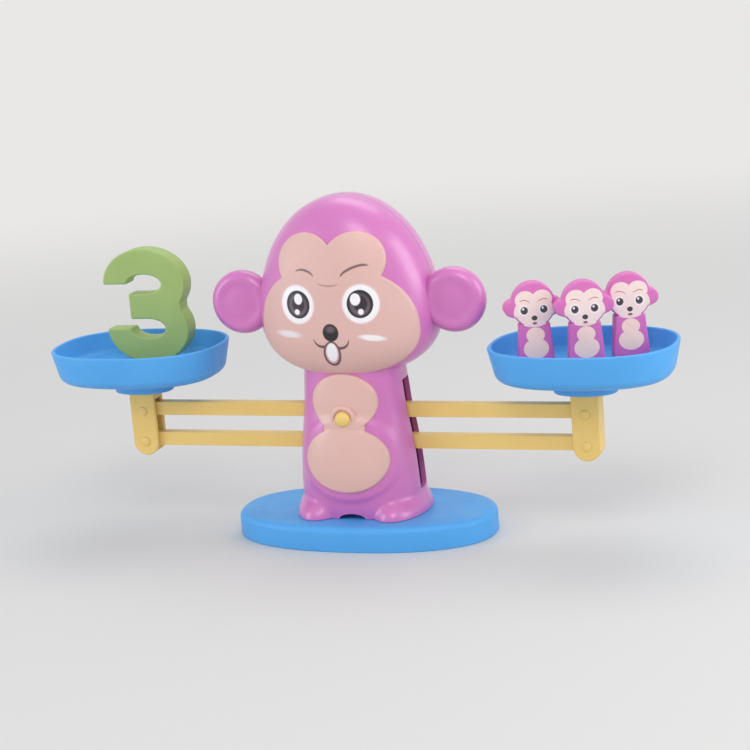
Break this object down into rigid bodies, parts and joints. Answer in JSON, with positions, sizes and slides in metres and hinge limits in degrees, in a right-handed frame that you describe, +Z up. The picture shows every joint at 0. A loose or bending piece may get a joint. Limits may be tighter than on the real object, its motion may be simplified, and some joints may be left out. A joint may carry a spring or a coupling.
{
  "type": "toy balance scale",
  "caption": "Toy pan balance with a monkey for its stand: parallel beams tilt through its body and keep both dishes level, with a numeral and small monkeys as loads.",
  "frame": {"origin": "middle of the base plate's underside, on the surface that the toy stands on", "axes": "+X along the level beams towards the right pan as seen from the front, +Y towards the back, +Z up; the monkey looks along -Y"},
  "size_m": [0.354, 0.08, 0.187],
  "materials": {
    "blue_abs": "moulded ABS, soft gloss",
    "pink_abs": "moulded ABS, soft gloss",
    "peach_abs": "moulded ABS, satin, with a printed face",
    "yellow_abs": "moulded ABS, soft gloss",
    "green_abs": "moulded ABS, satin",
    "zinc_steel": "zinc plated"
  },
  "bodies": {
    "stand": {"base_plate": "blue_abs", "base_screw_1": "zinc_steel", "base_screw_2": "zinc_steel", "base_screw_3": "zinc_steel", "base_screw_4": "zinc_steel", "body_front": "pink_abs", "body_back": "pink_abs", "body_screw_1": "zinc_steel", "body_screw_2": "zinc_steel", "body_screw_3": "zinc_steel", "body_screw_4": "zinc_steel", "belly_plate": "peach_abs", "head_front": "pink_abs", "head_back": "pink_abs", "head_screw_1": "zinc_steel", "head_screw_2": "zinc_steel", "head_screw_3": "zinc_steel", "head_screw_4": "zinc_steel", "face_plate": "peach_abs", "left_ear": "pink_abs", "right_ear": "pink_abs", "pivot_knob": "yellow_abs", "lower_pivot_pin": "zinc_steel"},
    "upper_beam": {"upper_beam": "yellow_abs"},
    "lower_beam": {"lower_beam": "yellow_abs"},
    "left_dish": {"left_post": "yellow_abs", "left_pan": "blue_abs", "left_upper_pin": "yellow_abs", "left_lower_pin": "yellow_abs"},
    "right_dish": {"right_post": "yellow_abs", "right_pan": "blue_abs", "right_upper_pin": "yellow_abs", "right_lower_pin": "yellow_abs"},
    "numeral": {"numeral_three": "green_abs"},
    "first_mini": {"mini_monkey_1": "pink_abs"},
    "second_mini": {"mini_monkey_2": "pink_abs"},
    "third_mini": {"mini_monkey_3": "pink_abs"}
  },
  "joints": [
    {"name": "beam_tilt", "type": "hinge", "parent": "stand", "child": "upper_beam", "pos_m": [0, 0, 0.07], "axis": [0, 1, 0], "range_deg": [-6, 6]},
    {"name": "lower_beam_tilt", "type": "hinge", "parent": "stand", "child": "lower_beam", "pos_m": [0, 0, 0.0525], "axis": [0, 1, 0], "range_deg": [-6, 6]},
    {"name": "left_dish_level", "type": "hinge", "parent": "upper_beam", "child": "left_dish", "pos_m": [-0.127, 0, 0.068], "axis": [0, 1, 0], "range_deg": [-6, 6]},
    {"name": "right_dish_level", "type": "hinge", "parent": "upper_beam", "child": "right_dish", "pos_m": [0.127, 0, 0.068], "axis": [0, 1, 0], "range_deg": [-6, 6]},
    {"name": "numeral_lift", "type": "slide", "parent": "left_dish", "child": "numeral", "axis": [0, 0, 1], "range_m": [0, 0.06]},
    {"name": "first_mini_lift", "type": "slide", "parent": "right_dish", "child": "first_mini", "axis": [0, 0, 1], "range_m": [0, 0.06]},
    {"name": "second_mini_lift", "type": "slide", "parent": "right_dish", "child": "second_mini", "axis": [0, 0, 1], "range_m": [0, 0.06]},
    {"name": "third_mini_lift", "type": "slide", "parent": "right_dish", "child": "third_mini", "axis": [0, 0, 1], "range_m": [0, 0.06]}
  ],
  "couplings": [
    {"joint": "lower_beam_tilt", "follows": "beam_tilt", "ratio": 1},
    {"joint": "left_dish_level", "follows": "beam_tilt", "ratio": -1},
    {"joint": "right_dish_level", "follows": "beam_tilt", "ratio": -1}
  ]
}
